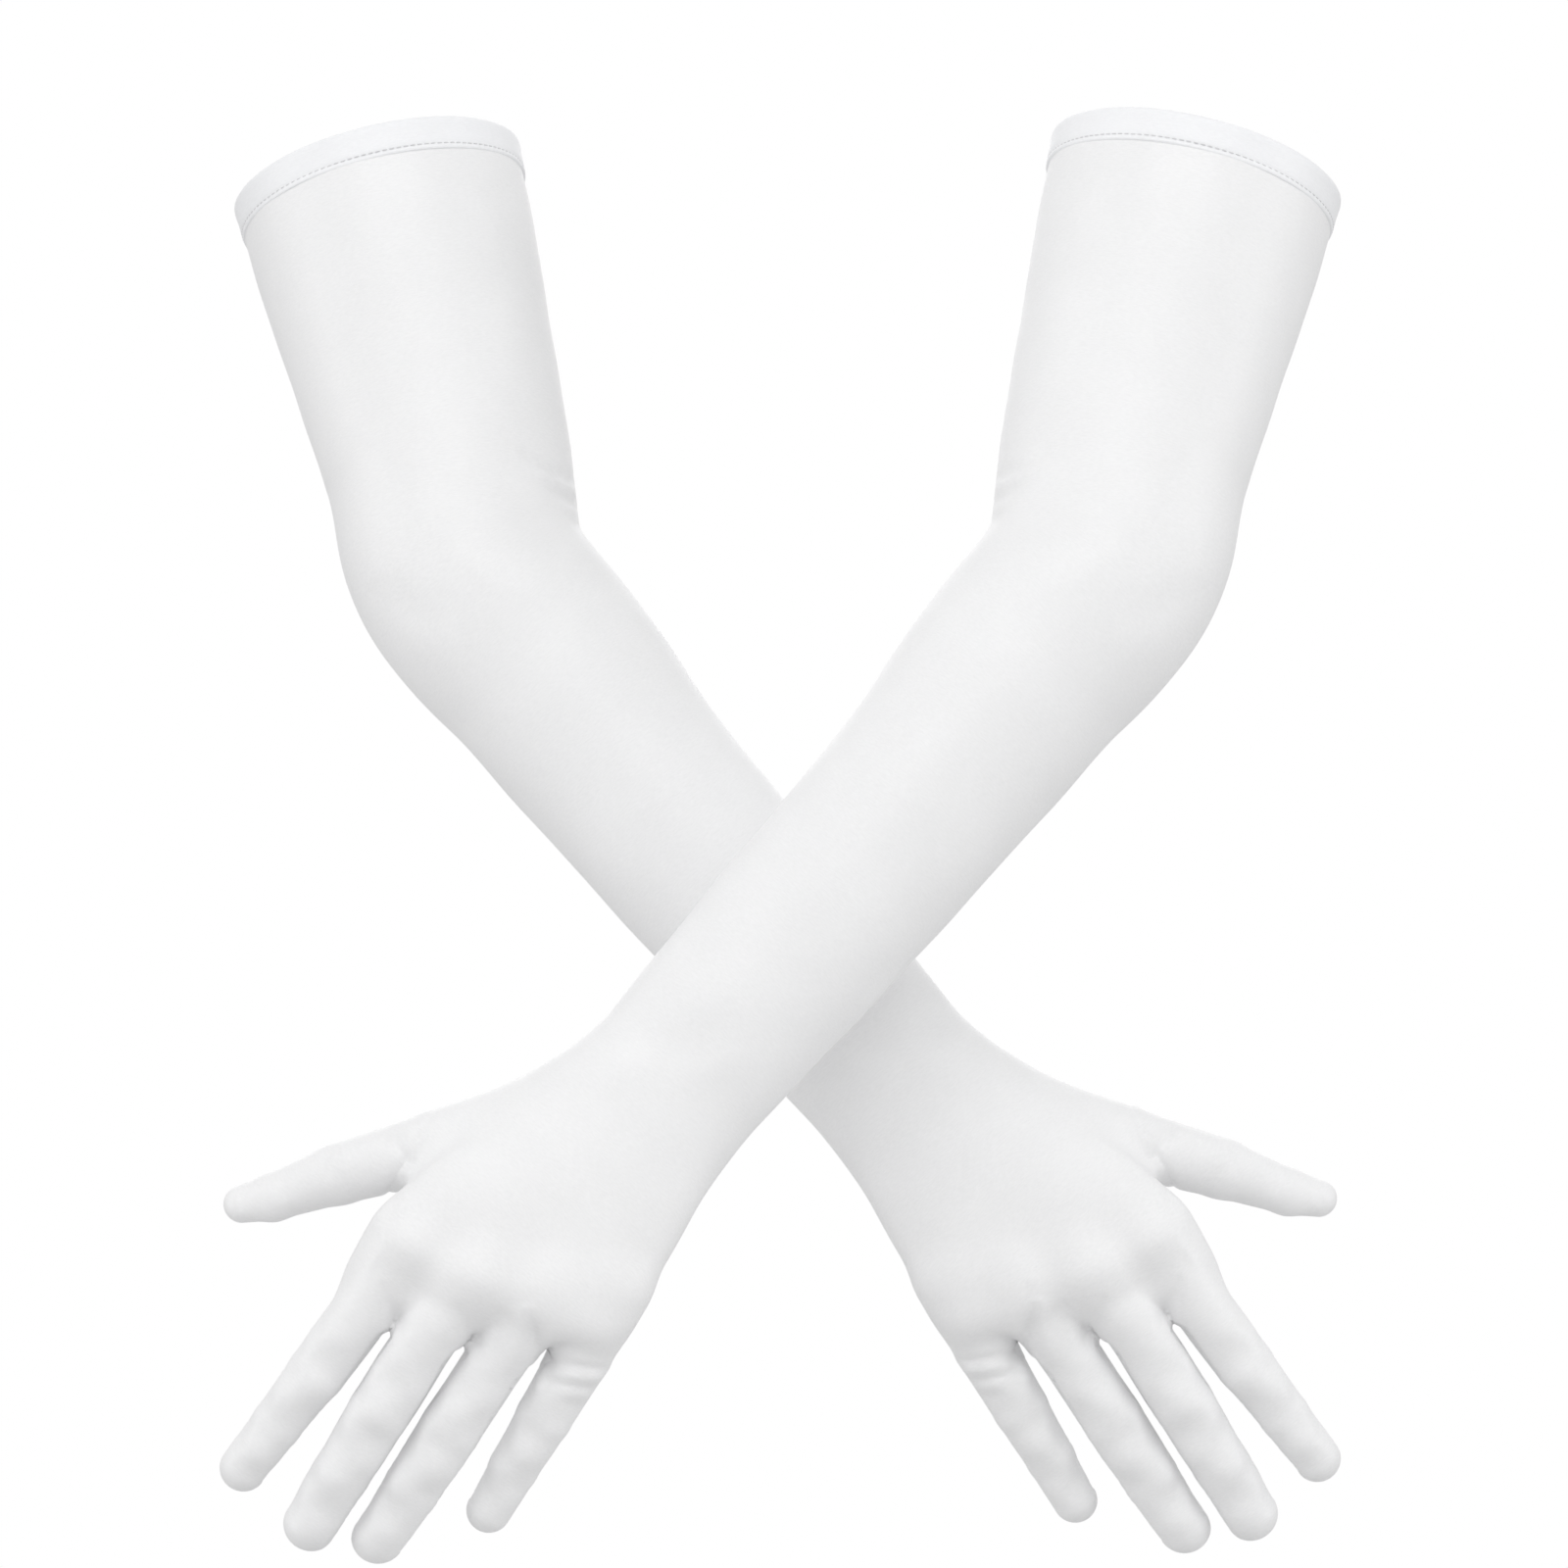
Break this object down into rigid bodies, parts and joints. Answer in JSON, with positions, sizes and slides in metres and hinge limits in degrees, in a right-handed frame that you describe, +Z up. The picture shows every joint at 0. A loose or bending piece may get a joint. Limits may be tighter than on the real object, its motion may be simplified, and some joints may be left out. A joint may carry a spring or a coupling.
{
  "type": "opera gloves",
  "caption": "Pair of elbow-length satin opera gloves with turned-over stitched hems, set-in thumbs and fourchettes, shaped as worn with the forearms crossed.",
  "frame": {"origin": "centre of the right glove's arm opening", "axes": "+X from the right glove's opening towards its hand side, +Y from the backs of the hands towards the palms, +Z up"},
  "size_m": [0.343, 0.2185, 0.444],
  "materials": {
    "satin": "white stretch satin with a soft sheen and fine cross-wise grain",
    "hem_satin": "doubled white satin, slightly cooler and brighter",
    "thread": "white polyester sewing thread"
  },
  "bodies": {
    "right_upper": {"right_hem_band": "hem_satin", "right_hem_stitching": "thread", "right_sleeve": "satin", "right_elbow_fold": "satin"},
    "right_forearm": {"right_forearm": "satin", "right_wrist_fold": "satin"},
    "right_hand": {"right_hand": "satin", "right_thumb_fold": "satin", "right_index_fold": "satin", "right_middle_fold": "satin", "right_ring_fold": "satin", "right_little_fold": "satin"},
    "right_thumb": {"right_thumb": "satin"},
    "right_index": {"right_index_finger": "satin", "right_index_fourchette_to_middle": "satin"},
    "right_middle": {"right_middle_finger": "satin", "right_middle_fourchette_to_index": "satin", "right_middle_fourchette_to_ring": "satin"},
    "right_ring": {"right_ring_finger": "satin", "right_ring_fourchette_to_middle": "satin", "right_ring_fourchette_to_little": "satin"},
    "right_little": {"right_little_finger": "satin", "right_little_fourchette_to_ring": "satin"},
    "left_upper": {"left_hem_band": "hem_satin", "left_hem_stitching": "thread", "left_sleeve": "satin", "left_elbow_fold": "satin"},
    "left_forearm": {"left_forearm": "satin", "left_wrist_fold": "satin"},
    "left_hand": {"left_hand": "satin", "left_thumb_fold": "satin", "left_index_fold": "satin", "left_middle_fold": "satin", "left_ring_fold": "satin", "left_little_fold": "satin"},
    "left_thumb": {"left_thumb": "satin"},
    "left_index": {"left_index_finger": "satin", "left_index_fourchette_to_middle": "satin"},
    "left_middle": {"left_middle_finger": "satin", "left_middle_fourchette_to_index": "satin", "left_middle_fourchette_to_ring": "satin"},
    "left_ring": {"left_ring_finger": "satin", "left_ring_fourchette_to_middle": "satin", "left_ring_fourchette_to_little": "satin"},
    "left_little": {"left_little_finger": "satin", "left_little_fourchette_to_ring": "satin"}
  },
  "joints": [
    {"name": "left_glove_lift", "type": "slide", "parent": "right_upper", "child": "left_upper", "axis": [0, -1, 0], "range_m": [0, 0.3]},
    {"name": "right_elbow", "type": "hinge", "parent": "right_upper", "child": "right_forearm", "pos_m": [0.0315, -0.044, -0.125], "axis": [0.235, -0.8971, 0.3741], "range_deg": [-26, 62], "deforming": ["right_elbow_fold"]},
    {"name": "right_wrist", "type": "hinge", "parent": "right_forearm", "child": "right_hand", "pos_m": [0.159, -0.076, -0.2775], "axis": [0.756, 0, 0.6546], "range_deg": [-50, 60], "deforming": ["right_wrist_fold"]},
    {"name": "right_thumb_curl", "type": "hinge", "parent": "right_hand", "child": "right_thumb", "pos_m": [0.231, -0.077, -0.2995], "axis": [0.2758, 0, 0.9612], "range_deg": [-10, 45], "deforming": ["right_thumb_fold"]},
    {"name": "right_index_curl", "type": "hinge", "parent": "right_hand", "child": "right_index", "pos_m": [0.25883, -0.08501, -0.35447], "axis": [0.7941, 0, 0.6077], "range_deg": [-15, 60], "deforming": ["right_index_fold"]},
    {"name": "right_middle_curl", "type": "hinge", "parent": "right_hand", "child": "right_middle", "pos_m": [0.23959, -0.0858, -0.36343], "axis": [0.8509, 0, 0.5253], "range_deg": [-15, 60], "deforming": ["right_middle_fold"]},
    {"name": "right_ring_curl", "type": "hinge", "parent": "right_hand", "child": "right_ring", "pos_m": [0.21829, -0.08477, -0.36928], "axis": [0.8355, 0, 0.5495], "range_deg": [-15, 60], "deforming": ["right_ring_fold"]},
    {"name": "right_little_curl", "type": "hinge", "parent": "right_hand", "child": "right_little", "pos_m": [0.19288, -0.08265, -0.36901], "axis": [0.8638, 0, 0.5039], "range_deg": [-15, 60], "deforming": ["right_little_fold"]},
    {"name": "left_elbow", "type": "hinge", "parent": "left_upper", "child": "left_forearm", "pos_m": [0.2223, -0.116, -0.125], "axis": [0, -1, 0], "range_deg": [-62, 26], "deforming": ["left_elbow_fold"]},
    {"name": "left_wrist", "type": "hinge", "parent": "left_forearm", "child": "left_hand", "pos_m": [0.0948, -0.148, -0.2775], "axis": [0.756, 0, -0.6546], "range_deg": [-50, 60], "deforming": ["left_wrist_fold"]},
    {"name": "left_thumb_curl", "type": "hinge", "parent": "left_hand", "child": "left_thumb", "pos_m": [0.0228, -0.149, -0.2995], "axis": [0.2758, 0, -0.9612], "range_deg": [-10, 45], "deforming": ["left_thumb_fold"]},
    {"name": "left_index_curl", "type": "hinge", "parent": "left_hand", "child": "left_index", "pos_m": [-0.00503, -0.15701, -0.35447], "axis": [0.7941, 0, -0.6077], "range_deg": [-15, 60], "deforming": ["left_index_fold"]},
    {"name": "left_middle_curl", "type": "hinge", "parent": "left_hand", "child": "left_middle", "pos_m": [0.01421, -0.1578, -0.36343], "axis": [0.8509, 0, -0.5253], "range_deg": [-15, 60], "deforming": ["left_middle_fold"]},
    {"name": "left_ring_curl", "type": "hinge", "parent": "left_hand", "child": "left_ring", "pos_m": [0.03551, -0.15677, -0.36928], "axis": [0.8355, 0, -0.5495], "range_deg": [-15, 60], "deforming": ["left_ring_fold"]},
    {"name": "left_little_curl", "type": "hinge", "parent": "left_hand", "child": "left_little", "pos_m": [0.06092, -0.15465, -0.36901], "axis": [0.8638, 0, -0.5039], "range_deg": [-15, 60], "deforming": ["left_little_fold"]}
  ]
}
